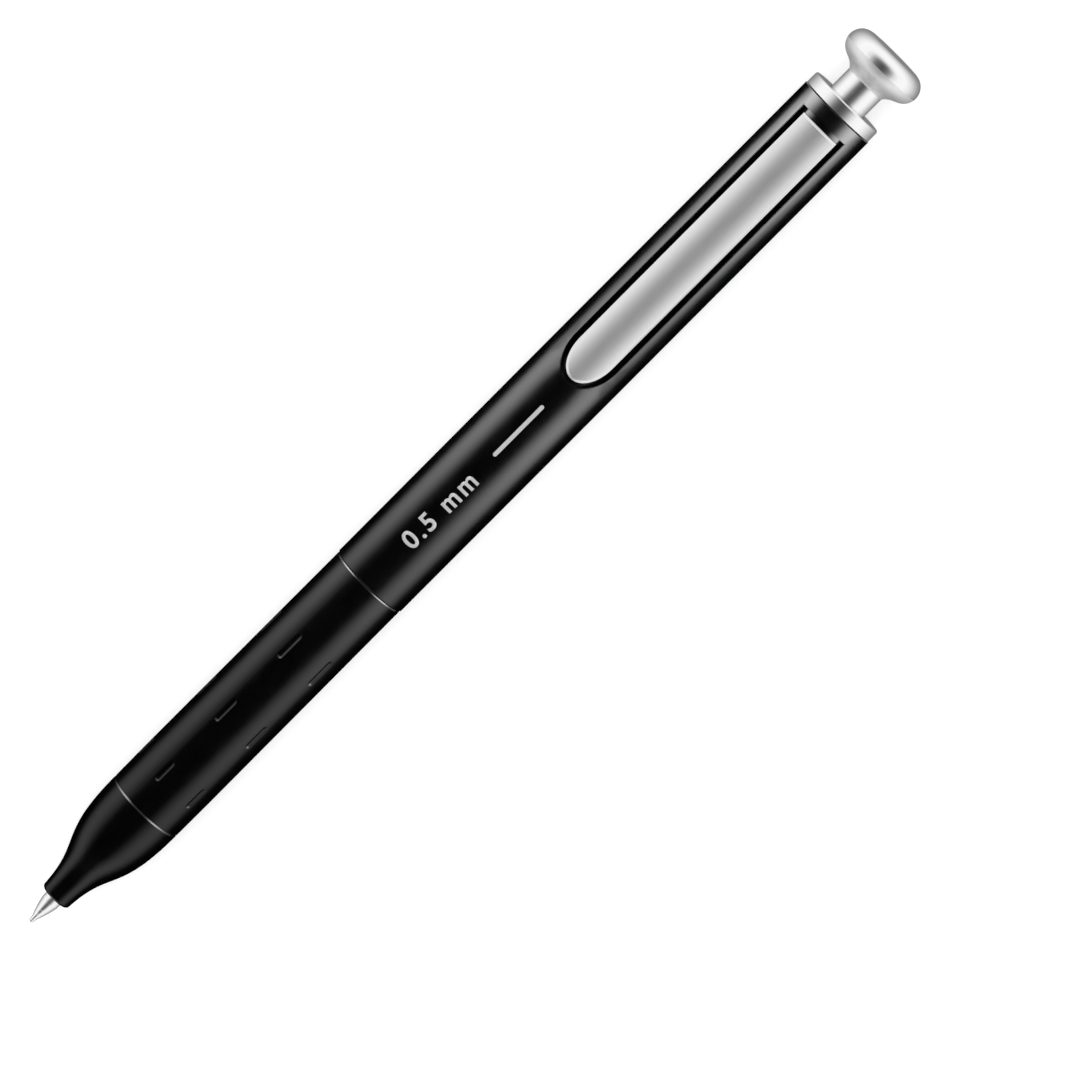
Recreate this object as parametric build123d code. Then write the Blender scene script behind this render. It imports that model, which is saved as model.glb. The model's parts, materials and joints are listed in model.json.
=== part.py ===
from build123d import *
import os

# Retractable gel pen lying on its side, clip uppermost, writing tip out.
# +X runs from the writing tip to the push knob, +Z is up and +Y is across.
# The pen is modelled on its own axis, with stations measured along X from the writing
# point, and each finished piece is then moved so that the origin lies under the middle.

# ---- Driving dimensions, mm ----
LENGTH = 145.0

# Stations along the pen axis
LIP = 4.20                 # front face of the nose
NOSE_SEAM = 19.86          # nose meets grip
GRIP_PEAK = 26.50          # widest place of the grip
GRIP_SEAM = 57.76          # grip meets upper barrel
SHAFT_END = 90.00          # end of the barrel's true cylinder; behind it the barrel has a slight draft
CLIP_TIP = 92.02           # round free end of the clip
CLIP_ROOT = 133.04         # square fixed end of the clip
COLLAR_SEAM = 135.60       # upper barrel meets collar
COLLAR_TOP = 137.24        # flat top of the collar, round the neck
NECK_TOP = 140.14          # neck meets knob cap

# Outer radii
TIP_R = 1.14
LIP_R = 2.02
NOSE_R = 5.06
GRIP_R = 5.09
GRIP_END_R = 5.01
BARREL_R = 5.10
BARREL_END_R = 5.07
COLLAR_R = 4.98
NECK_R = 2.62
KNOB_RING_R = 3.45         # circle that the knob's rim follows
KNOB_RIM_R = 1.95          # rounding of the rim

# Clip
CLIP_WIDTH = 5.26
CLIP_THICKNESS = 0.50
CLIP_R = 5.30              # the clip is a little flatter than the barrel ...
CLIP_DROP = 0.26           # ... with its centre of curvature this far under the pen axis
CLIP_BEVEL = (0.30, 0.15)  # bright bevel round the outer face: width, depth
CLIP_ROUND_LENGTH = 4.1    # length of the elliptical free end
CLIP_GAP = 0.66            # gap all round the clip
POCKET_ROUNDING = 0.08     # eased edge of the pocket
POCKET_EASING_DEPTH = 0.07
POCKET_FLOOR_R = 4.35
BUMP_R = 0.8               # gripping bump under the free end
BUMP_HEIGHT = 0.12
BUMP_SETBACK = 3.5
TAB_STATION = 132.05
TAB_SIZE = (0.7, 2.8)      # along the pen, across the pen
TAB_END = 3.85             # how near the axis the tab reaches
TAB_GAP = 0.15

# Grip grooves: rows along the pen, columns round it
GROOVE_ROWS = ((25.27, 3.00), (35.56, 3.42), (46.30, 3.80))   # station, length
GROOVE_COLUMNS = 6
GROOVE_FIRST_ANGLE = -14.0
GROOVE_WIDTH = 0.70
GROOVE_DEPTH = 0.12        # each groove is a shallow scoop with round ends

# Bores and inner parts
TIP_BORE_R = 1.27
HOLDER_BORE_R = 1.95
SPRING_BORE_R = 2.50
REFILL_BORE_R = 3.20
BARREL_BORE_R = 3.70
CORE_R = 4.30
NOSE_SPIGOT_R = 3.90
NOSE_SPIGOT_END = 24.8
CORE_SPIGOT_R = 4.15
CORE_SPIGOT_END = 65.4
SOCKET_RUNOUT = 0.2        # how much deeper a threaded socket is than its spigot is long
COLLAR_ROUNDING = (0.32, 0.22)  # along the pen, across it
COLLAR_SPIGOT_R = 4.05
COLLAR_SPIGOT_START = 133.2
THREAD_DEPTH = 0.2
THREAD_PITCH = 0.8
FIT = 0.04                 # radial gap of a screwed or sliding joint
SEAM_EDGE = 0.09           # small bevel at each visible joint
SEAM_BEVEL = (0.22, 0.12)  # wider bevel on the rear edge of nose and grip: length, depth

# Refill
REFILL_LENGTH = 110.5
BALL_R = 0.25
BALL_CLEARANCE = 0.015
BALL_MOUTH = 0.12          # front edge of the socket that holds the ball
INK_DUCT_R = 0.42
NIB_R = 0.55               # bore of the writing tip
NIB_SLIM = (0.75, 0.38)    # end of the slim front of the tip: station, radius
NIB_FULL = 3.40            # where the tip reaches its full radius
NIB_END = 13.0
BALL_SPRING = (1.2, 10.2)
BALL_SPRING_R = (0.36, 0.24)
HOLDER_START = 10.4
HOLDER_R = 1.70
SPRING_SEAT = 24.6
TUBE_START = 27.2
TUBE_R = 3.00
TUBE_BORE_R = 2.50
HOLDER_END = 31.0
HOLDER_DUCT_R = 0.8
VENT_R = 0.5
INK_END = 88.0
GREASE_END = 93.0
PLUG_START = 106.5
TUBE_END = 109.5

# Return spring
SPRING_FRONT = 11.2
SPRING_WIRE_R = 0.20
SPRING_COIL_R = 2.15       # middle of the wire
SPRING_TURNS = 11

# Click mechanism
BUSH_END = 136.3
HOUSING_START = 111.5
HOUSING_END = 133.9
HOUSING_BORE_R = 3.10
GUIDE_START = 119.0
GUIDE_END = 128.8
GUIDE_R = 2.50
SLOT_WIDTH = 1.40
RIB_WIDTH = 1.20
RIB_R = 3.00
CAM_R = 2.42
CAM_BORE_R = 1.60
GUIDE_NOTCH_WIDTH = 3.6
TOOTH_COUNT = 8
TOOTH_DEPTH = 0.8
TOOTH_WIDTH = 1.5
ROTOR_TOP = 119.8
ROTOR_GROOVE = (112.0, 114.4)
ROTOR_GROOVE_R = 1.5
ROTOR_RIBS = (115.4, 118.7)
ROTOR_RIB_TOOTH = 0.6
PLUNGER_START = 119.9
PLUNGER_RIBS = (121.2, 128.4)
PLUNGER_END = 130.9
STEM_PEG_START = 124.5
STEM_PEG_END = 142.8
PILOT_R = 1.45
PILOT_END = 122.4
RIB_ROOT = 0.3             # how far a rib is sunk into the body that carries it
KNOB_FLARE_ANGLE = 154     # where the knob's flare runs into its round rim, degrees

AXIS_HEIGHT = KNOB_RING_R + KNOB_RIM_R
QUARTERS = (0, 90, 180, 270)


# ---- Helpers ----
def turned(*outline):
    """Solid of revolution about the pen axis, from closed curves or from (station, radius) points."""
    if isinstance(outline[0], tuple):
        curve = Polyline(*outline, close=True)
    else:
        curve = outline[0]
        for piece in outline[1:]:
            curve = curve + piece
    return revolve(Plane.XZ * make_face(curve), Axis.X)


def tube(start, end, outer, inner=0.0):
    """Plain tube, or rod where inner is 0."""
    return turned((start, inner), (start, outer), (end, outer), (end, inner))


def thread_points(start, end, crest):
    """Outline of a thread drawn as rings, running from start to end with its crests at one radius."""
    points = [(start, crest - THREAD_DEPTH)]
    rings = int((end - start) / THREAD_PITCH)
    for ring in range(rings):
        station = start + ring * THREAD_PITCH
        points.append((station + 0.25 * THREAD_PITCH, crest - THREAD_DEPTH))
        points.append((station + 0.45 * THREAD_PITCH, crest))
        points.append((station + 0.75 * THREAD_PITCH, crest))
        points.append((station + 0.95 * THREAD_PITCH, crest - THREAD_DEPTH))
    points.append((end, crest - THREAD_DEPTH))
    return points


def radial_bar(start, end, inner, outer, width, angle):
    """Bar along the pen from radius inner to outer, turned round the axis; angle 0 is straight up."""
    bar = Pos((start + end) / 2, 0, (inner + outer) / 2) * Box(end - start, width, outer - inner)
    return Rot(angle, 0, 0) * bar


def tooth_notch(station, depth, width, inner, outer, angle):
    """Saw-tooth notch cut from station towards station + depth, reaching from radius inner to outer."""
    flank = Polyline((station, -width / 2), (station, width / 2), (station + depth, width / 2), close=True)
    return Rot(angle, 0, 0) * Pos(0, 0, inner) * extrude(make_face(flank), outer - inner)


def crown(part, station, depth):
    """Cut a ring of saw teeth into the end of a cam; a negative depth cuts towards the tip."""
    for tooth in range(TOOTH_COUNT):
        angle = tooth * 360 / TOOTH_COUNT
        part -= tooth_notch(station, depth, TOOTH_WIDTH, CAM_BORE_R - 0.3, RIB_R, angle)
    return part


def coil(front, length, coil_r, wire_r, turns):
    """Open compression spring wound about the pen axis."""
    pitch = (length - 2 * wire_r) / turns
    path = Helix(pitch, pitch * turns, coil_r)
    wire = sweep(Plane(origin=path @ 0, z_dir=path % 0) * Circle(wire_r), path=path)
    return Pos(front + wire_r, 0, 0) * Rot(0, 90, 0) * wire


# ---- Refill ----
def refill_tip():
    """Writing tip: slim nib, rounded shoulder and straight shank, with ball socket and ink duct."""
    socket_r = BALL_R + BALL_CLEARANCE
    duct_r = BALL_R / 2
    lip_bore = (socket_r**2 - (BALL_R - BALL_MOUTH) ** 2) ** 0.5 - 0.05
    shoulder = ThreePointArc(NIB_SLIM, (1.95, 0.80), (NIB_FULL, TIP_R))
    rest = Polyline(
        (NIB_FULL, TIP_R), (NIB_END, TIP_R), (NIB_END, NIB_R), (1.9, NIB_R), (1.6, INK_DUCT_R),
        (1.1, INK_DUCT_R), (0.9, duct_r), (BALL_R, duct_r), (BALL_MOUTH, lip_bore),
        (BALL_MOUTH, 0.30), NIB_SLIM,
    )
    return turned(shoulder, rest) - Pos(BALL_R, 0, 0) * Sphere(socket_r)


def tip_ball():
    return Pos(BALL_R, 0, 0) * Sphere(BALL_R)


def ball_spring():
    """The fine spring behind the ball, drawn as the sleeve that its turns fill."""
    return tube(*BALL_SPRING, *BALL_SPRING_R)


def tip_holder():
    shape = tube(HOLDER_START, SPRING_SEAT, HOLDER_R)
    shape += tube(SPRING_SEAT, TUBE_START, SPRING_BORE_R - 0.1)
    shape += tube(TUBE_START, HOLDER_END, TUBE_BORE_R)
    shape -= tube(HOLDER_START, NIB_END, TIP_R)
    return shape - tube(NIB_END, HOLDER_END, HOLDER_DUCT_R)


def ink_tube():
    return tube(TUBE_START, TUBE_END, TUBE_R, TUBE_BORE_R)


def ink_column():
    return tube(HOLDER_END, INK_END, TUBE_BORE_R)


def grease_follower():
    return tube(INK_END, GREASE_END, TUBE_BORE_R)


def tail_plug():
    shape = tube(PLUG_START, TUBE_END, TUBE_BORE_R) + tube(TUBE_END, REFILL_LENGTH, TUBE_R)
    return shape - tube(PLUG_START, REFILL_LENGTH, VENT_R)


def return_spring():
    return coil(SPRING_FRONT, SPRING_SEAT - SPRING_FRONT, SPRING_COIL_R, SPRING_WIRE_R, SPRING_TURNS)


# ---- Front section ----
def nose_cone():
    lip_rounding = 0.45
    duct_end = 8.8
    edge = NOSE_SEAM - SEAM_BEVEL[0]
    lip = CenterArc((LIP + lip_rounding, LIP_R - lip_rounding), lip_rounding, 90, 90)
    flare = Bezier((LIP + lip_rounding, LIP_R), (11.35, 2.38), (9.85, 5.07), (edge, NOSE_R))
    rear = [(edge, NOSE_R), (NOSE_SEAM, NOSE_R - SEAM_BEVEL[1])]
    rear += thread_points(NOSE_SEAM, NOSE_SPIGOT_END, NOSE_SPIGOT_R)
    rear += [
        (NOSE_SPIGOT_END, SPRING_BORE_R), (SPRING_FRONT, SPRING_BORE_R), (SPRING_FRONT, HOLDER_BORE_R),
        (duct_end, HOLDER_BORE_R), (duct_end, TIP_BORE_R), (LIP, TIP_BORE_R), (LIP, LIP_R - lip_rounding),
    ]
    return turned(lip, flare, Polyline(*rear))


def core_tube():
    """Inner tube that carries the grip: a socket for the nose in front, a threaded spigot behind."""
    socket_end = NOSE_SPIGOT_END + SOCKET_RUNOUT
    outline = [(NOSE_SEAM, NOSE_SPIGOT_R + FIT), (NOSE_SEAM, CORE_R), (GRIP_SEAM, CORE_R)]
    outline += thread_points(GRIP_SEAM, CORE_SPIGOT_END, CORE_SPIGOT_R)
    outline += [(CORE_SPIGOT_END, REFILL_BORE_R), (socket_end, REFILL_BORE_R)]
    outline += [(socket_end, NOSE_SPIGOT_R + FIT)]
    return turned(*outline)


def groove_cutter(length):
    """Round-ended rod that scoops a groove of this length out of a surface at its origin."""
    cutter_r = ((GROOVE_WIDTH / 2) ** 2 + GROOVE_DEPTH**2) / (2 * GROOVE_DEPTH)
    half = (length - GROOVE_WIDTH) / 2
    rod = Rot(0, 90, 0) * Cylinder(cutter_r, 2 * half)
    rod += Pos(-half, 0, 0) * Sphere(cutter_r) + Pos(half, 0, 0) * Sphere(cutter_r)
    return Pos(0, 0, cutter_r - GROOVE_DEPTH) * rod


def grip_sleeve():
    front, rear = NOSE_SEAM + SEAM_EDGE, GRIP_SEAM - SEAM_BEVEL[0]
    halfway = (front + GRIP_PEAK) / 2
    swell = ThreePointArc((front, NOSE_R), (halfway, GRIP_R - 0.008), (GRIP_PEAK, GRIP_R))
    taper = Line((GRIP_PEAK, GRIP_R), (rear, GRIP_END_R))
    rest = Polyline(
        (rear, GRIP_END_R), (GRIP_SEAM, GRIP_END_R - SEAM_BEVEL[1]), (GRIP_SEAM, CORE_R),
        (NOSE_SEAM, CORE_R),
        (NOSE_SEAM, NOSE_R - SEAM_EDGE), (front, NOSE_R),
    )
    sleeve = turned(swell, taper, rest)
    for station, length in GROOVE_ROWS:
        groove = Pos(station, 0, GRIP_R) * groove_cutter(length)
        for column in range(GROOVE_COLUMNS):
            sleeve -= Rot(GROOVE_FIRST_ANGLE + column * 360 / GROOVE_COLUMNS, 0, 0) * groove
    return sleeve


# ---- Upper barrel and clip ----
def clip_outline(margin):
    """Plan shape of the clip, grown all round by margin: square root, elliptical free end."""
    half = CLIP_WIDTH / 2 + margin
    nose = CLIP_TIP - margin
    root = CLIP_ROOT + margin
    shoulder = nose + CLIP_ROUND_LENGTH + margin
    end = EllipticalCenterArc((shoulder, 0), CLIP_ROUND_LENGTH + margin, half, start_angle=90, arc_size=180)
    sides = Polyline((shoulder, -half), (root, -half), (root, half), (shoulder, half))
    return make_face(end + sides)


def clip_column(margin):
    """The clip's plan shape as a tall block, for cutting the pocket and the clip itself."""
    return extrude(clip_outline(margin), 2 * BARREL_R)


def beside_clip(outer, inner=0.0):
    """Tube about the pen axis that is a little longer than the clip."""
    return tube(CLIP_TIP - 5, CLIP_ROOT + 2, outer, inner)


def upper_barrel():
    socket_r = CORE_SPIGOT_R + FIT
    socket_end = CORE_SPIGOT_END + SOCKET_RUNOUT
    shell = turned(
        (GRIP_SEAM, socket_r), (GRIP_SEAM, BARREL_R - SEAM_EDGE), (GRIP_SEAM + SEAM_EDGE, BARREL_R),
        (SHAFT_END, BARREL_R), (COLLAR_SEAM - SEAM_EDGE, BARREL_END_R),
        (COLLAR_SEAM, BARREL_END_R - SEAM_EDGE),
        (COLLAR_SEAM, COLLAR_SPIGOT_R), (COLLAR_SPIGOT_START, COLLAR_SPIGOT_R),
        (COLLAR_SPIGOT_START, BARREL_BORE_R), (socket_end, BARREL_BORE_R), (socket_end, socket_r),
    )
    pocket = clip_column(CLIP_GAP) - beside_clip(POCKET_FLOOR_R)
    easing = clip_column(CLIP_GAP + POCKET_ROUNDING) - beside_clip(BARREL_R - POCKET_EASING_DEPTH)
    slot_size = [side + 2 * TAB_GAP for side in TAB_SIZE]
    slot_height = 2.0
    tab_slot = Pos(TAB_STATION, 0, BARREL_BORE_R + 0.3) * Box(*slot_size, slot_height)
    return shell - pocket - easing - tab_slot


def clip_plate():
    """Spring clip lying in the barrel's pocket, with its fixing tab and the bump that grips the paper."""
    inner_r = CLIP_R - CLIP_THICKNESS
    underside = inner_r - CLIP_DROP
    plate = clip_column(0) & Pos(0, 0, -CLIP_DROP) * beside_clip(CLIP_R, inner_r)
    outer_face = max(plate.faces(), key=lambda face: face.center().Z)
    plate = chamfer(outer_face.edges(), *CLIP_BEVEL, reference=outer_face)
    tab_height = underside + CLIP_THICKNESS / 2 - TAB_END
    tab = Pos(TAB_STATION, 0, TAB_END + tab_height / 2) * Box(*TAB_SIZE, tab_height)
    bump = Pos(CLIP_TIP + BUMP_SETBACK, 0, underside) * Cylinder(BUMP_R, 2 * BUMP_HEIGHT)
    return plate + tab + bump


def collar_ring():
    """Bright ring that closes the barrel, with a spigot inside it and a rounded top edge."""
    bore = NECK_R + 0.12
    along, across = COLLAR_ROUNDING
    foot = (COLLAR_SEAM, COLLAR_R - SEAM_EDGE)
    side = Polyline(foot, (COLLAR_SEAM + SEAM_EDGE, COLLAR_R), (COLLAR_TOP - along, COLLAR_R))
    rim = EllipticalCenterArc(
        (COLLAR_TOP - along, COLLAR_R - across), along, across, start_angle=0, arc_size=90
    )
    rest = Polyline(
        (COLLAR_TOP, COLLAR_R - across), (COLLAR_TOP, bore), (BUSH_END, bore), (BUSH_END, BARREL_BORE_R),
        (COLLAR_SPIGOT_START, BARREL_BORE_R), (COLLAR_SPIGOT_START, COLLAR_SPIGOT_R),
        (COLLAR_SEAM, COLLAR_SPIGOT_R), foot,
    )
    return turned(side, rim, rest)


# ---- Click mechanism ----
def neck_bush():
    return tube(HOUSING_END, BUSH_END, BARREL_BORE_R, NECK_R + 0.07)


def cam_housing():
    housing = tube(HOUSING_START, HOUSING_END, BARREL_BORE_R, HOUSING_BORE_R)
    guides = tube(GUIDE_START, GUIDE_END, HOUSING_BORE_R, GUIDE_R)
    for angle in QUARTERS:
        guides -= radial_bar(GUIDE_START - 1, GUIDE_END + 1, 1.0, 5.0, SLOT_WIDTH, angle)
        guides -= tooth_notch(GUIDE_START, TOOTH_DEPTH, GUIDE_NOTCH_WIDTH, 1.0, 5.0, angle + 45)
    return housing + guides


def rotor_cam():
    """Cam that turns as it is pressed: saw teeth behind, four ribs that hook on the housing's guides."""
    rotor = tube(REFILL_LENGTH + 0.05, ROTOR_TOP, CAM_R)
    rotor -= tube(*ROTOR_GROOVE, BARREL_R, ROTOR_GROOVE_R)
    rotor = crown(rotor, ROTOR_TOP, -TOOTH_DEPTH)
    for angle in QUARTERS:
        rib = radial_bar(*ROTOR_RIBS, CAM_R - RIB_ROOT, RIB_R, RIB_WIDTH, angle)
        rotor += rib - tooth_notch(ROTOR_RIBS[1], -ROTOR_RIB_TOOTH, RIB_WIDTH + 0.1, 1.0, BARREL_R, angle)
    return rotor + tube(ROTOR_TOP - TOOTH_DEPTH, PILOT_END, PILOT_R)


def plunger_cam():
    """Ribbed cam that the knob pushes; its teeth drive the rotor's."""
    plunger = crown(tube(PLUNGER_START, PLUNGER_END, CAM_R, CAM_BORE_R), PLUNGER_START, TOOTH_DEPTH)
    for angle in QUARTERS:
        plunger += radial_bar(*PLUNGER_RIBS, CAM_R - RIB_ROOT, RIB_R, RIB_WIDTH, angle)
    return plunger


def knob_stem():
    return tube(STEM_PEG_START, STEM_PEG_END, CAM_BORE_R) + tube(PLUNGER_END, NECK_TOP, NECK_R)


def knob_cap():
    middle = LENGTH - KNOB_RIM_R
    rim = CenterArc((middle, KNOB_RING_R), KNOB_RIM_R, KNOB_FLARE_ANGLE, 90 - KNOB_FLARE_ANGLE)
    flare = Spline((NECK_TOP, NECK_R), rim @ 0, tangents=((1, 0.5), (0.44, 0.90)))
    crown_face = CenterArc((middle, KNOB_RING_R), KNOB_RIM_R, 0, 90)
    rest = Polyline(
        (LENGTH, KNOB_RING_R), (LENGTH, 0), (STEM_PEG_END, 0), (STEM_PEG_END, CAM_BORE_R),
        (NECK_TOP, CAM_BORE_R), (NECK_TOP, NECK_R),
    )
    return turned(flare, rim, crown_face, rest)


PARTS = (
    refill_tip, tip_ball, ball_spring, tip_holder, ink_tube, ink_column, grease_follower, tail_plug,
    return_spring, nose_cone, core_tube, grip_sleeve, upper_barrel, clip_plate, collar_ring,
    neck_bush, cam_housing, rotor_cam, plunger_cam, knob_stem, knob_cap,
)

os.makedirs("parts", exist_ok=True)
to_frame = Pos(-LENGTH / 2, 0, AXIS_HEIGHT)
for make in PARTS:
    export_step(to_frame * make(), f"parts/{make.__name__}.step")
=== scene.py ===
import bpy
import bmesh
import json
import math
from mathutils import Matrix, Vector

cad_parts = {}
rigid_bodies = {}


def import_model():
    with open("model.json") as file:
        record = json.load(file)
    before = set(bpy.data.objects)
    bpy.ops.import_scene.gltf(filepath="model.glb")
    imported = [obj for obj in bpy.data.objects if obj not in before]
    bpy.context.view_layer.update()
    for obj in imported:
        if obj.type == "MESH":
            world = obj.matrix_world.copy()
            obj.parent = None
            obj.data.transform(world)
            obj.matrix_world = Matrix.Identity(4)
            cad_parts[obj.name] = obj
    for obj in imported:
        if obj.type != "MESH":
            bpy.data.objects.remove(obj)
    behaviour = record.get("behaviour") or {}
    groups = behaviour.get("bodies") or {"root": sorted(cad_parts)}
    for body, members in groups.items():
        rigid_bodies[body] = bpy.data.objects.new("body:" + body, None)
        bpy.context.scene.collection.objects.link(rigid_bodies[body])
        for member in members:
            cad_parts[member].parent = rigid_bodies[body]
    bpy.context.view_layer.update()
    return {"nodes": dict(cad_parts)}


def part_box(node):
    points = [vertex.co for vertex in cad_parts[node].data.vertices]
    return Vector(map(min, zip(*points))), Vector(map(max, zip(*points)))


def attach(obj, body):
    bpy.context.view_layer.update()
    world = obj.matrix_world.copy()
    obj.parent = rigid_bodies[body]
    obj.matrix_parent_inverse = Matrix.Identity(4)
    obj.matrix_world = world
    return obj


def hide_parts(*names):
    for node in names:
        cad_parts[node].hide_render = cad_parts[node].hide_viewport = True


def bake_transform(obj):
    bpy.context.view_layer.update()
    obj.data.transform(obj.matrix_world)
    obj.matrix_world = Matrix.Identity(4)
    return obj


# Looks of the retractable gel pen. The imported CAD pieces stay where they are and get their
# finishes here. Meshes stand in for the two springs and the grip, and add the barrel's print.
# The pen's axis runs along X, the writing tip is towards -X and the clip is uppermost.

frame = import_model()
nodes = frame["nodes"]
scene = bpy.context.scene

MM = 0.001
TIP_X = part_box("tip_ball")[0].x
BARREL_LOW, BARREL_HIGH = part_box("upper_barrel")
AXIS_Z = (BARREL_LOW.z + BARREL_HIGH.z) / 2
BARREL_R = (BARREL_HIGH.y - BARREL_LOW.y) / 2


def station(mm):
    """World X of a distance along the pen from the writing point."""
    return TIP_X + mm * MM


# ---- Node helpers ----
class Finish:
    """A material built round one Principled shader, with the textures that a finish shares."""

    def __init__(self, name, color, roughness, metallic=0.0, **sockets):
        self.material = bpy.data.materials.new(name)
        self.material.use_nodes = True
        self.tree = self.material.node_tree
        self.shader = self.tree.nodes["Principled BSDF"]
        self.set("Base Color", (*color, 1.0))
        self.set("Roughness", roughness)
        self.set("Metallic", metallic)
        for socket, value in sockets.items():
            self.set(socket.replace("_", " "), value)
        self.coordinates = self.tree.nodes.new("ShaderNodeTexCoord").outputs["Object"]

    def set(self, socket, value):
        self.shader.inputs[socket].default_value = value

    def node(self, kind, **properties):
        new = self.tree.nodes.new(kind)
        for key, value in properties.items():
            setattr(new, key, value)
        return new

    def link(self, output, target):
        self.tree.links.new(output, target)

    def noise(self, size, stretch=(1.0, 1.0, 1.0), detail=3.0, offset=0.0):
        """Noise with features about size mm across, times stretch along each axis."""
        mapping = self.node("ShaderNodeMapping")
        mapping.inputs["Scale"].default_value = [1 / (size * MM * factor) for factor in stretch]
        mapping.inputs["Location"].default_value = (offset, offset, offset)
        texture = self.node("ShaderNodeTexNoise")
        texture.inputs["Scale"].default_value = 1.0
        texture.inputs["Detail"].default_value = detail
        self.link(self.coordinates, mapping.inputs["Vector"])
        self.link(mapping.outputs["Vector"], texture.inputs["Vector"])
        return texture.outputs["Fac"]

    def spread(self, source, low, high, start=0.3, end=0.7):
        """The source's middle range mapped onto low..high."""
        spread = self.node("ShaderNodeMapRange")
        spread.inputs["From Min"].default_value = start
        spread.inputs["From Max"].default_value = end
        spread.inputs["To Min"].default_value = low
        spread.inputs["To Max"].default_value = high
        self.link(source, spread.inputs["Value"])
        return spread.outputs["Result"]

    def vary_roughness(self, source, low, high):
        self.link(self.spread(source, low, high), self.shader.inputs["Roughness"])

    def vary_color(self, source, dark, light):
        mix = self.node("ShaderNodeMix", data_type="RGBA")
        mix.inputs["A"].default_value = (*dark, 1.0)
        mix.inputs["B"].default_value = (*light, 1.0)
        self.link(self.spread(source, 0.0, 1.0), mix.inputs["Factor"])
        self.link(mix.outputs["Result"], self.shader.inputs["Base Color"])

    def bump(self, source, height):
        """Relief of about height mm."""
        bump = self.node("ShaderNodeBump")
        bump.inputs["Distance"].default_value = height * MM
        bump.inputs["Strength"].default_value = 1.0
        self.link(source, bump.inputs["Height"])
        self.link(bump.outputs["Normal"], self.shader.inputs["Normal"])


# ---- Finishes ----
PLASTIC_GRAIN = 0.14           # size of the spark texture, mm
PLASTIC_RELIEF = 0.0012        # mm
TOOL_MARK = 0.05               # spacing of the rings on turned metal and the lines on brushed metal, mm
TURNED_RELIEF = 0.0004         # mm
BRUSHED_RELIEF = 0.0006        # mm
RING_STRETCH = (1.0, 40.0, 40.0)
BRUSH_STRETCH = (60.0, 1.0, 1.0)
HAZE = 0.9                     # size of the clouds on turned metal, mm

KNOB_EDGE = station(142.76)    # from the blasted flare to the polished rim
KNOB_EDGE_BLUR = 0.04 * MM
KNOB_FLARE = (0.44, 0.52)      # roughness
KNOB_RIM = (0.06, 0.11)        # roughness
KNOB_AVERAGE = 0.12            # roughness, for a reader that skips textures

BLACK = ((0.0003, 0.0003, 0.00035), (0.0008, 0.0008, 0.0009))
BLACK_ROUGHNESS = (0.20, 0.25)
BRIGHT = (0.86, 0.86, 0.86)


def moulded_plastic(name, dark, light, roughness, relief=PLASTIC_RELIEF, **sockets):
    """Satin moulded plastic: fine spark texture, faint flow clouds and handling smears."""
    finish = Finish(name, light, roughness[0], **sockets)
    finish.vary_color(finish.noise(2.6, stretch=(3.0, 1.0, 1.0)), dark, light)
    finish.vary_roughness(finish.noise(1.1, stretch=(2.0, 1.0, 1.0), detail=5.0), *roughness)
    finish.bump(finish.noise(PLASTIC_GRAIN, detail=2.0), relief)
    return finish


def add_tool_rings(finish):
    finish.bump(finish.noise(TOOL_MARK, stretch=RING_STRETCH, detail=2.0), TURNED_RELIEF)


def turned_metal(name, color, roughness):
    """Turned metal: fine tool rings round the axis and a faint haze."""
    finish = Finish(name, color, roughness[0], metallic=1.0)
    finish.vary_roughness(finish.noise(HAZE, detail=5.0), *roughness)
    add_tool_rings(finish)
    return finish


def knob_metal():
    """The knob cap's metal: blasted on the flare and polished on the rim."""
    finish = Finish("knob_metal", BRIGHT, KNOB_AVERAGE, metallic=1.0)
    split = finish.node("ShaderNodeSeparateXYZ")
    finish.link(finish.coordinates, split.inputs["Vector"])
    edge = (KNOB_EDGE - KNOB_EDGE_BLUR, KNOB_EDGE + KNOB_EDGE_BLUR)
    rim = finish.spread(split.outputs["X"], 0.0, 1.0, *edge)
    haze = finish.noise(HAZE, detail=5.0)
    mix = finish.node("ShaderNodeMix", data_type="FLOAT")
    finish.link(rim, mix.inputs["Factor"])
    finish.link(finish.spread(haze, *KNOB_FLARE), mix.inputs["A"])
    finish.link(finish.spread(haze, *KNOB_RIM), mix.inputs["B"])
    finish.link(mix.outputs["Result"], finish.shader.inputs["Roughness"])
    add_tool_rings(finish)
    return finish


def brushed_metal(name, color, roughness):
    """Sheet metal brushed along the pen."""
    finish = Finish(name, color, roughness[0], metallic=1.0)
    finish.vary_roughness(finish.noise(TOOL_MARK, stretch=BRUSH_STRETCH, detail=4.0), *roughness)
    finish.bump(finish.noise(TOOL_MARK, stretch=BRUSH_STRETCH, detail=3.0, offset=7.0), BRUSHED_RELIEF)
    return finish


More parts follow.
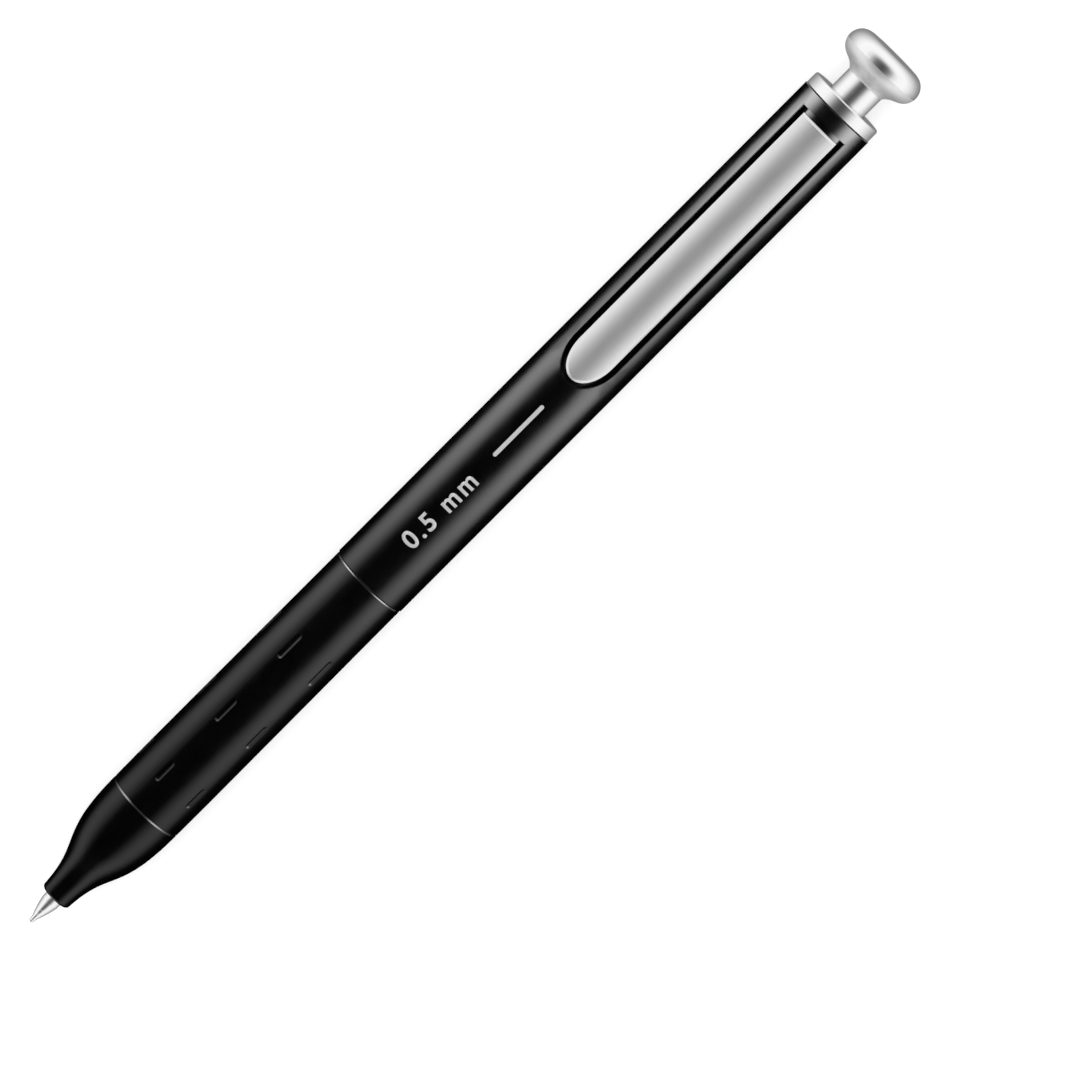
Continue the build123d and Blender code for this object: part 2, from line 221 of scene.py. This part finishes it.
FINISHES = {
    "black_plastic": moulded_plastic("black_plastic", *BLACK, BLACK_ROUGHNESS),
    "black_grip": moulded_plastic("black_grip", *BLACK, BLACK_ROUGHNESS),
    "dark_plastic": moulded_plastic(
        "dark_plastic", (0.018, 0.018, 0.019), (0.028, 0.028, 0.030), (0.42, 0.52)
    ),
    "white_plastic": moulded_plastic(
        "white_plastic", (0.74, 0.74, 0.71), (0.80, 0.80, 0.78), (0.34, 0.44)
    ),
    "cam_plastic": moulded_plastic(
        "cam_plastic", (0.30, 0.33, 0.38), (0.36, 0.39, 0.44), (0.32, 0.42)
    ),
    "tip_steel": turned_metal("tip_steel", (0.84, 0.84, 0.84), (0.03, 0.06)),
    "carbide": turned_metal("carbide", (0.45, 0.45, 0.47), (0.06, 0.10)),
    "spring_steel": turned_metal("spring_steel", (0.62, 0.62, 0.64), (0.18, 0.26)),
    "polished_metal": turned_metal("polished_metal", BRIGHT, (0.10, 0.16)),
    "satin_metal": turned_metal("satin_metal", BRIGHT, (0.26, 0.32)),
    "clip_metal": brushed_metal("clip_metal", (0.90, 0.90, 0.90), (0.42, 0.50)),
    "clear_plastic": moulded_plastic(
        "clear_plastic", (0.88, 0.90, 0.91), (0.92, 0.93, 0.94), (0.06, 0.12), relief=0.0004,
        Transmission_Weight=0.85, IOR=1.49,
    ),
    "ink": moulded_plastic("ink", (0.002, 0.002, 0.003), (0.005, 0.005, 0.008), (0.04, 0.09), relief=0.0),
    "grease": moulded_plastic(
        "grease", (0.80, 0.76, 0.60), (0.86, 0.82, 0.68), (0.10, 0.20), Transmission_Weight=0.5, IOR=1.46
    ),
}
KNOB_METAL = knob_metal()


def paint_cad_pieces():
    """Give every CAD piece the finish of its material slot, and the knob cap its two-part one."""
    for node in nodes.values():
        for place, old in enumerate(node.data.materials):
            node.data.materials[place] = FINISHES[old.name].material
    nodes["knob_cap"].data.materials[0] = KNOB_METAL.material


# ---- Springs ----
RETURN_WIRE_R = 0.20 * MM
RETURN_TURNS = (13, 1.5)       # all turns, and the closed ones at each end
BALL_WIRE_R = 0.06 * MM
BALL_TURNS = (26, 2)
CLOSED_PITCH = 2.06            # between closed turns, in wire radii
TURN_STEPS = 40
WIRE_SIDES = 12


def mesh_object(name, points, faces, finish):
    mesh = bpy.data.meshes.new(name)
    mesh.from_pydata(points, [], faces)
    mesh.polygons.foreach_set("use_smooth", [True] * len(mesh.polygons))
    mesh.materials.append(FINISHES[finish].material)
    mesh.update(calc_edges=True)
    piece = bpy.data.objects.new(name, mesh)
    scene.collection.objects.link(piece)
    return piece


def winding(name, low, high, wire_r, turns, dead_turns):
    """Compression spring that fills a box about the pen axis: open turns between closed ones."""
    coil_r = (high.y - low.y) / 2 - wire_r
    closed_pitch = CLOSED_PITCH * wire_r
    travel = high.x - low.x - 2 * wire_r
    open_pitch = (travel - 2 * dead_turns * closed_pitch) / (turns - 2 * dead_turns)
    points, faces = [], []
    position = low.x + wire_r
    steps = round(turns * TURN_STEPS)
    for step in range(steps + 1):
        turn = step / TURN_STEPS
        angle = 2 * math.pi * turn
        out = Vector((0, math.sin(angle), math.cos(angle)))
        centre = Vector((position, 0, AXIS_Z)) + out * coil_r
        for side in range(WIRE_SIDES):
            around = 2 * math.pi * side / WIRE_SIDES
            points.append(centre + wire_r * (math.cos(around) * out + math.sin(around) * Vector((1, 0, 0))))
        closed = turn < dead_turns or turn >= turns - dead_turns
        position += (closed_pitch if closed else open_pitch) / TURN_STEPS
    for step in range(steps):
        for side in range(WIRE_SIDES):
            here, after = step * WIRE_SIDES + side, step * WIRE_SIDES + (side + 1) % WIRE_SIDES
            faces.append((here, after, after + WIRE_SIDES, here + WIRE_SIDES))
    faces.append(tuple(range(WIRE_SIDES - 1, -1, -1)))
    faces.append(tuple(range(steps * WIRE_SIDES, (steps + 1) * WIRE_SIDES)))
    return mesh_object(name, points, faces, "spring_steel")


def make_springs():
    low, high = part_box("return_spring")
    spring = winding("return_spring_winding", low, high, RETURN_WIRE_R, *RETURN_TURNS)
    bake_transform(spring)
    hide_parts("return_spring")

    low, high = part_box("ball_spring")
    spring = winding("ball_spring_winding", low, high, BALL_WIRE_R, *BALL_TURNS)
    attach(spring, "refill")
    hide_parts("ball_spring")


# ---- Grip ----
GRIP_LOW, GRIP_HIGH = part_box("grip_sleeve")
GRIP_BORE_R = 4.30 * MM
GRIP_FRONT_R = 5.06 * MM
GRIP_END_R = 5.01 * MM
GRIP_PEAK = station(26.5)
GRIP_FRONT_BEVEL = 0.09 * MM
GRIP_REAR_BEVEL = (0.22 * MM, 0.12 * MM)
GROOVE_ROWS = ((25.27, 3.00), (35.56, 3.42), (46.30, 3.80))   # middle and length, mm
GROOVE_COLUMNS = 6
GROOVE_TURN = 2 * math.pi / GROOVE_COLUMNS
GROOVE_FIRST_ANGLE = math.radians(14)
GROOVE_WIDTH = 0.70 * MM
GROOVE_DEPTH = 0.12 * MM
GROOVE_CUTTER_R = ((GROOVE_WIDTH / 2) ** 2 + GROOVE_DEPTH**2) / (2 * GROOVE_DEPTH)
GROOVE_EASING = 0.012 * MM     # rounding of the grooves' edges
GROOVE_REACH = 0.95            # a scoop's formula is used this far from its middle, in cutter radii
GROOVE_MARGIN = 0.2            # finer mesh past each groove's ends, mm
GROOVE_BAND = 0.55 * MM        # finer mesh on each side of a groove's middle
RING_STEPS = (0.8 * MM, 0.1 * MM)      # along the grip, between grooves and at them
SIDE_STEPS = (0.5 * MM, 0.055 * MM)    # round the grip, between grooves and at them


def spaced(start, end, step):
    """Evenly spaced values from start up to but not including end, about step apart."""
    count = max(1, math.ceil((end - start) / step))
    return [start + (end - start) * number / count for number in range(count)]


def grip_stations():
    """Stations of the grip's outer rings: close together across the grooves, wider between them."""
    places = []
    here = GRIP_LOW.x + GRIP_FRONT_BEVEL
    for middle, length in GROOVE_ROWS:
        reach = (length / 2 + GROOVE_MARGIN) * MM
        places += spaced(here, station(middle) - reach, RING_STEPS[0])
        here = station(middle) + reach
        places += spaced(station(middle) - reach, here, RING_STEPS[1])
    end = GRIP_HIGH.x - GRIP_REAR_BEVEL[0]
    return places + spaced(here, end, RING_STEPS[0]) + [end]


def grip_angles():
    """Angles round the grip, from the top towards +Y, close together at the grooves."""
    reach = GROOVE_BAND / GRIP_FRONT_R
    angles = []
    for column in range(GROOVE_COLUMNS):
        middle = GROOVE_FIRST_ANGLE + column * GROOVE_TURN
        angles += spaced(middle - reach, middle + reach, SIDE_STEPS[1] / GRIP_FRONT_R)
        angles += spaced(middle + reach, middle + GROOVE_TURN - reach, SIDE_STEPS[0] / GRIP_FRONT_R)
    return angles


def grip_radius(x):
    """The grip's radius: a slight swell up to the peak, then a straight taper."""
    peak_r = (GRIP_HIGH.y - GRIP_LOW.y) / 2
    start, end = GRIP_LOW.x + GRIP_FRONT_BEVEL, GRIP_HIGH.x - GRIP_REAR_BEVEL[0]
    if x < GRIP_PEAK:
        return peak_r - (peak_r - GRIP_FRONT_R) * ((GRIP_PEAK - x) / (GRIP_PEAK - start)) ** 2
    return peak_r - (peak_r - GRIP_END_R) * (x - GRIP_PEAK) / (end - GRIP_PEAK)


def groove_depth(x, angle):
    """Depth of the round-ended scoops at a place on the grip, with eased edges."""
    from_column = (angle - GROOVE_FIRST_ANGLE + GROOVE_TURN / 2) % GROOVE_TURN - GROOVE_TURN / 2
    across = from_column * GRIP_FRONT_R
    for middle, length in GROOVE_ROWS:
        beyond = max(0.0, abs(x - station(middle)) - (length * MM - GROOVE_WIDTH) / 2)
        off = math.hypot(beyond, across)
        if off < GROOVE_REACH * GROOVE_CUTTER_R:
            depth = GROOVE_DEPTH - GROOVE_CUTTER_R + math.sqrt(GROOVE_CUTTER_R**2 - off**2)
            return (depth + math.hypot(depth, GROOVE_EASING)) / 2
    return 0.0


def make_grip():
    """The grip as one closed sleeve, with its moulded scoops and the bevels at both ends. It keeps the
    CAD node's shape, whose own mesh shades unevenly round the scoops."""
    rings = [(GRIP_LOW.x, GRIP_BORE_R), (GRIP_LOW.x, GRIP_FRONT_R - GRIP_FRONT_BEVEL)]
    rings += [(x, grip_radius(x)) for x in grip_stations()]
    rings += [(GRIP_HIGH.x, GRIP_END_R - GRIP_REAR_BEVEL[1]), (GRIP_HIGH.x, GRIP_BORE_R)]
    angles = grip_angles()
    count = len(angles)
    points = []
    for number, (x, radius) in enumerate(rings):
        outer = 2 < number < len(rings) - 3
        for angle in angles:
            r = radius - groove_depth(x, angle) if outer else radius
            points.append((x, r * math.sin(angle), AXIS_Z + r * math.cos(angle)))
    faces = []
    for ring in range(len(rings)):
        here, there = ring * count, (ring + 1) % len(rings) * count
        for place in range(count):
            after = (place + 1) % count
            faces.append((here + place, there + place, there + after, here + after))
    sleeve = mesh_object("grip_sleeve_moulded", points, faces, "black_grip")
    sharp = {0, 1, 2, len(rings) - 3, len(rings) - 2, len(rings) - 1}
    for edge in sleeve.data.edges:
        first, second = (vertex // count for vertex in edge.vertices)
        edge.use_edge_sharp = first == second and first in sharp
    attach(sleeve, "barrel")
    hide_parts("grip_sleeve")


# ---- Print on the barrel ----
PRINT_LIFT = 0.012 * MM
PRINT_CELL = 0.12 * MM         # widest flat strip of the print that is bent round the barrel
TEXT_START = station(64.6)
TEXT_SIZE = 3.15 * MM
TEXT_SPACING = 1.22
TEXT_WEIGHT = 0.02             # thickening of the strokes, in text sizes
SAMPLE_ENDS = (station(79.5), station(87.3))
SAMPLE_WIDTH = 0.5 * MM


def silver_print():
    finish = Finish("silver_print", (0.42, 0.42, 0.415), 0.45)
    finish.vary_color(finish.noise(0.25), (0.37, 0.37, 0.365), (0.46, 0.46, 0.455))
    finish.vary_roughness(finish.noise(0.3, offset=3.0), 0.38, 0.55)
    finish.bump(finish.noise(0.05), 0.001)
    return finish


def wrap_on_barrel(flat, name, finish):
    """Wrap a flat bmesh, drawn on XY, onto the top of the barrel as a thin closed skin."""
    low = min(vertex.co.y for vertex in flat.verts)
    high = max(vertex.co.y for vertex in flat.verts)
    for cut in range(1, int((high - low) / PRINT_CELL) + 1):
        everything = flat.verts[:] + flat.edges[:] + flat.faces[:]
        bmesh.ops.bisect_plane(
            flat, geom=everything, plane_co=(0, low + cut * PRINT_CELL, 0), plane_no=(0, 1, 0), dist=1e-8
        )
    bmesh.ops.triangulate(flat, faces=[face for face in flat.faces if len(face.verts) > 4])
    base = flat.faces[:]
    grown = bmesh.ops.extrude_face_region(flat, geom=base)
    top = {item for item in grown["geom"] if isinstance(item, bmesh.types.BMVert)}
    for vertex in flat.verts:
        radius = BARREL_R + (PRINT_LIFT if vertex in top else -PRINT_LIFT)
        angle = vertex.co.y / BARREL_R
        vertex.co = (vertex.co.x, radius * math.sin(angle), AXIS_Z + radius * math.cos(angle))
    bmesh.ops.recalc_face_normals(flat, faces=flat.faces[:])
    mesh = bpy.data.meshes.new(name)
    flat.to_mesh(mesh)
    flat.free()
    mesh.materials.append(finish.material)
    piece = bpy.data.objects.new(name, mesh)
    scene.collection.objects.link(piece)
    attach(piece, "barrel")
    return piece


def print_text(words, name, finish):
    """Text that reads from the tip towards the knob, centred on the top of the barrel."""
    curve = bpy.data.curves.new(name, "FONT")
    curve.body = words
    curve.size = TEXT_SIZE
    curve.space_character = TEXT_SPACING
    curve.offset = TEXT_WEIGHT * TEXT_SIZE
    curve.resolution_u = 6
    holder = bpy.data.objects.new(name + "_flat", curve)
    scene.collection.objects.link(holder)
    bpy.context.view_layer.update()
    mesh = bpy.data.meshes.new_from_object(holder.evaluated_get(bpy.context.evaluated_depsgraph_get()))
    bpy.data.objects.remove(holder)
    flat = bmesh.new()
    flat.from_mesh(mesh)
    bpy.data.meshes.remove(mesh)
    left = min(vertex.co.x for vertex in flat.verts)
    bottom = min(vertex.co.y for vertex in flat.verts)
    top = max(vertex.co.y for vertex in flat.verts)
    for vertex in flat.verts:
        vertex.co.x += TEXT_START - left
        vertex.co.y -= (bottom + top) / 2
    return wrap_on_barrel(flat, name, finish)


def print_stroke(name, finish):
    """Sample of the line that the pen draws, with round ends."""
    flat = bmesh.new()
    outline = []
    for end_x, first in ((SAMPLE_ENDS[1], -90), (SAMPLE_ENDS[0], 90)):
        for degree in range(first, first + 181, 15):
            angle = math.radians(degree)
            x = end_x + SAMPLE_WIDTH / 2 * math.cos(angle)
            outline.append(flat.verts.new((x, SAMPLE_WIDTH / 2 * math.sin(angle), 0)))
    flat.faces.new(outline)
    return wrap_on_barrel(flat, name, finish)


# ---- Stage, light and camera ----
TILT = math.radians(7.5)       # of the view from straight above, towards the knob
LOOK_BACK = Vector((math.sin(TILT), 0, math.cos(TILT)))
LOOK_ALONG = Vector((math.cos(TILT), 0, -math.sin(TILT)))
CAMERA_DISTANCE = 0.830
CAMERA_TARGET = Vector((station(75.45), -10.75 * MM, AXIS_Z))
CAMERA_SENSOR = 36.0
CAMERA_LENS = 235.9
CAMERA_CLIP_END = 10.0
FLOOR_HALF_SIDE = 1.2
FLOOR_GREY = 0.74
FLOOR_ROUGHNESS = 0.9
FLOOR_GLOW = 0.42
BACKDROP_GREY = 0.93
BACKDROP_STRENGTH = 0.8
LAMP_SIZE = 0.8
LAMP_POWER = 3.0
LAMP_HEIGHT = 0.7
METALS = {"clip_metal", "satin_metal", "polished_metal", "tip_steel", "carbide", "spring_steel"}


def group_of(name, metal):
    """Collection of the metal pieces, or of the others, for a light that is meant for them alone."""
    metals = {FINISHES[finish].material for finish in METALS} | {KNOB_METAL.material}
    group = bpy.data.collections.new(name)
    for piece in bpy.data.objects:
        if piece.type == "MESH" and not piece.get("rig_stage"):
            if any(material in metals for material in piece.data.materials) == metal:
                group.objects.link(piece)
    return group


def stage_piece(mesh, material):
    mesh.materials.append(material)
    piece = bpy.data.objects.new(mesh.name, mesh)
    scene.collection.objects.link(piece)
    piece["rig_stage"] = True
    return piece


def stage_panel(name, corners, material):
    mesh = bpy.data.meshes.new(name)
    mesh.from_pydata(corners, [], [(0, 1, 2, 3)])
    return stage_piece(mesh, material)


def stage_ball(name, radius, material):
    """Large ball round the whole scene, to carry a glow that depends on direction."""
    ball = bmesh.new()
    bmesh.ops.create_icosphere(ball, subdivisions=3, radius=radius)
    mesh = bpy.data.meshes.new(name)
    ball.to_mesh(mesh)
    ball.free()
    return stage_piece(mesh, material)


def make_floor():
    side = FLOOR_HALF_SIDE
    corners = [(-side, -side, 0), (side, -side, 0), (side, side, 0), (-side, side, 0)]
    finish = Finish("floor", (FLOOR_GREY,) * 3, FLOOR_ROUGHNESS)
    finish.set("Emission Color", (1.0, 1.0, 1.0, 1.0))
    finish.set("Emission Strength", FLOOR_GLOW)
    floor = stage_panel("floor", corners, finish.material)
    floor.visible_glossy = False


class Glow:
    """Light panel's material: it glows by a strength worked out from the place on it, and lets
    what is behind it through, so that it doesn't darken the pieces that it isn't meant for."""

    def __init__(self, name):
        self.material = bpy.data.materials.new(name)
        self.material.use_nodes = True
        self.tree = self.material.node_tree
        self.tree.nodes.clear()
        self.emission = self.tree.nodes.new("ShaderNodeEmission")
        clear = self.tree.nodes.new("ShaderNodeBsdfTransparent")
        both = self.tree.nodes.new("ShaderNodeAddShader")
        output = self.tree.nodes.new("ShaderNodeOutputMaterial")
        self.tree.links.new(self.emission.outputs["Emission"], both.inputs[0])
        self.tree.links.new(clear.outputs["BSDF"], both.inputs[1])
        self.tree.links.new(both.outputs["Shader"], output.inputs["Surface"])
        self.place = self.tree.nodes.new("ShaderNodeTexCoord").outputs["Object"]

    def dot(self, vector, other):
        node = self.tree.nodes.new("ShaderNodeVectorMath")
        node.operation = "DOT_PRODUCT"
        node.inputs[1].default_value = other
        self.tree.links.new(vector, node.inputs[0])
        return node.outputs["Value"]

    def direction(self):
        node = self.tree.nodes.new("ShaderNodeVectorMath")
        node.operation = "NORMALIZE"
        self.tree.links.new(self.place, node.inputs[0])
        return node.outputs["Vector"]

    def math(self, operation, *values):
        node = self.tree.nodes.new("ShaderNodeMath")
        node.operation = operation
        for place, value in enumerate(values):
            if isinstance(value, (int, float)):
                node.inputs[place].default_value = value
            else:
                self.tree.links.new(value, node.inputs[place])
        return node.outputs["Value"]

    def ramp(self, value, low, high, stops):
        """Strength at a value, from (value, strength) stops between low and high."""
        spread = self.tree.nodes.new("ShaderNodeMapRange")
        spread.inputs["From Min"].default_value = low
        spread.inputs["From Max"].default_value = high
        ramp = self.tree.nodes.new("ShaderNodeValToRGB")
        elements = ramp.color_ramp.elements
        elements.remove(elements[0])
        for number, (position, level) in enumerate(stops):
            stop = elements[0] if number == 0 else elements.new((position - low) / (high - low))
            stop.position = (position - low) / (high - low)
            stop.color = (level, level, level, 1)
        self.tree.links.new(value, spread.inputs["Value"])
        self.tree.links.new(spread.outputs["Result"], ramp.inputs["Fac"])
        return ramp.outputs["Color"]

    def shine(self, value, strength=1.0):
        self.tree.links.new(self.math("MULTIPLY", value, strength), self.emission.inputs["Strength"])


def hide_panel(panel, group):
    """A light panel shows only as a reflection, and only on the pieces of its group."""
    panel.visible_camera = False
    panel.visible_diffuse = False
    panel.visible_shadow = False
    panel.visible_transmission = False
    panel.light_linking.receiver_collection = group


# How bright the metal's surroundings are, by the cosine of the angle from overhead
SURROUND = (
    (-1.0, 0.22), (-0.77, 0.34), (-0.58, 0.50), (-0.28, 0.78), (0.0, 1.00), (0.22, 1.10),
    (0.60, 1.06), (0.75, 0.88), (0.857, 0.56), (0.93, 0.26), (1.0, 0.07),
)
SURROUND_NARROWING = (0.60, 0.50)    # how the dark part overhead lengthens towards the tip
SURROUND_R = 0.9


def make_metal_surround():
    """Soft tent round the metal pieces: bright at the sides and dark overhead, further so at the tip."""
    glow = Glow("metal_surround")
    direction = glow.direction()
    height = glow.dot(direction, LOOK_BACK)
    along = glow.dot(direction, LOOK_ALONG)
    narrowing = glow.math("MULTIPLY_ADD", along, *SURROUND_NARROWING)
    shrunk = glow.math("POWER", glow.math("MULTIPLY", along, narrowing), 2.0)
    rest = glow.math("SUBTRACT", 1.0, glow.math("POWER", along, 2.0))
    length = glow.math("SQRT", glow.math("ADD", rest, shrunk))
    glow.shine(glow.ramp(glow.math("DIVIDE", height, length), -1.0, 1.0, SURROUND))
    hide_panel(stage_ball("metal_surround", SURROUND_R, glow.material), group_of("metal_pieces", True))


STRIP_ENDS = (-0.50, 0.16)     # X
STRIP_REACH = 0.128            # from the pen's axis
STRIP_RISE = (20, 14)          # degrees above the pen's axis, on the -Y side and on the +Y side
STRIP_HALF_SPREAD = 40         # degrees, with soft edges
STRIP_STRENGTH = 15.0
# How bright the strips are, by X
STRIP_LEVELS = (
    (-0.12, 0.058), (-0.07, 0.060), (-0.04, 0.092), (-0.015, 0.19), (0.0, 0.31),
    (0.028, 0.35), (0.048, 0.76), (0.07, 1.0),
)


def soft_edges(half_width):
    """Stops of a smooth rise from one edge of a strip to its middle and down again."""
    steps = [step / 6 for step in range(-6, 7)]
    return [(step * half_width, math.cos(step * math.pi / 2) ** 2) for step in steps]


def make_plastic_strips():
    """A long soft strip on either side of the plastic pieces, brighter towards the knob."""
    half_width = STRIP_REACH * math.tan(math.radians(STRIP_HALF_SPREAD))
    group = group_of("plastic_pieces", False)
    for side, degrees in zip((-1, 1), STRIP_RISE):
        rise = math.radians(degrees)
        outward = Vector((0, side * math.cos(rise), math.sin(rise)))
        across = Vector((0, -side * math.sin(rise), math.cos(rise)))
        centre = Vector((0, 0, AXIS_Z)) + outward * STRIP_REACH
        glow = Glow(f"strip_{side}")
        level = glow.ramp(glow.dot(glow.place, (1, 0, 0)), *STRIP_ENDS, STRIP_LEVELS)
        offset = glow.math("SUBTRACT", glow.dot(glow.place, across), centre.dot(across))
        soft = glow.ramp(offset, -half_width, half_width, soft_edges(half_width))
        glow.shine(glow.math("MULTIPLY", level, soft), STRIP_STRENGTH)
        corners = []
        for end, edge in ((0, -1), (1, -1), (1, 1), (0, 1)):
            corners.append(centre + Vector((STRIP_ENDS[end], 0, 0)) + across * edge * half_width)
        hide_panel(stage_panel(f"strip_{side}", corners, glow.material), group)


END_GLOW_R = 0.8               # not SURROUND_R, since balls that coincide darken each other
# How bright it is past the ends, by the cosine of the angle from the knob's side
END_LEVELS = (
    (-1.0, 2.0), (-0.975, 2.0), (-0.95, 0.0), (0.20, 0.0), (0.35, 1.1), (0.60, 0.9), (0.72, 0.2), (1.0, 0.5)
)


def make_end_glow():
    """Light from past both ends of the pen, which only edges and the grooves' ends reflect."""
    glow = Glow("end_glow")
    along = glow.dot(glow.direction(), (1, 0, 0))
    peak = max(level for _, level in END_LEVELS)
    stops = [(place, level / peak) for place, level in END_LEVELS]
    glow.shine(glow.ramp(along, -1.0, 1.0, stops), peak)
    hide_panel(stage_ball("end_glow", END_GLOW_R, glow.material), group_of("edged_pieces", False))


def make_world():
    """Even pale light for what isn't gloss, and a pale backdrop past the floor."""
    world = bpy.data.worlds.new("studio")
    world.use_nodes = True
    scene.world = world
    world.cycles_visibility.glossy = False
    background = world.node_tree.nodes["Background"]
    background.inputs["Color"].default_value = (BACKDROP_GREY, BACKDROP_GREY, BACKDROP_GREY, 1)
    background.inputs["Strength"].default_value = BACKDROP_STRENGTH


def make_light():
    """Large overhead soft box for the floor and the print; it isn't mirrored in the gloss."""
    light = bpy.data.lights.new("overhead", "AREA")
    light.shape = "DISK"
    light.size = LAMP_SIZE
    light.energy = LAMP_POWER
    lamp = bpy.data.objects.new("overhead", light)
    lamp.location = (0, 0, LAMP_HEIGHT)
    lamp.visible_glossy = False
    lamp.visible_camera = False
    scene.collection.objects.link(lamp)


def make_camera():
    """Above the pen, tilted a little towards the knob, with the pen's axis along the frame's diagonal."""
    across = Vector((0, 1, 0))
    right = (LOOK_ALONG - across).normalized()
    up = (LOOK_ALONG + across).normalized()
    data = bpy.data.cameras.new("camera")
    data.sensor_width = CAMERA_SENSOR
    data.lens = CAMERA_LENS
    data.clip_end = CAMERA_CLIP_END
    camera = bpy.data.objects.new("camera", data)
    matrix = camera.matrix_world.to_3x3()
    matrix.col[0], matrix.col[1], matrix.col[2] = right, up, LOOK_BACK
    camera.matrix_world = matrix.to_4x4()
    camera.location = CAMERA_TARGET + LOOK_BACK * CAMERA_DISTANCE
    scene.collection.objects.link(camera)
    scene.camera = camera


# ---- Build ----
paint_cad_pieces()
make_springs()
make_grip()
ink_mark = silver_print()
print_text("0.5 mm", "line_width_print", ink_mark)
print_stroke("line_sample_print", ink_mark)
make_floor()
make_metal_surround()
make_plastic_strips()
make_end_glow()
make_world()
make_light()
make_camera()
scene.view_settings.view_transform = "Standard"
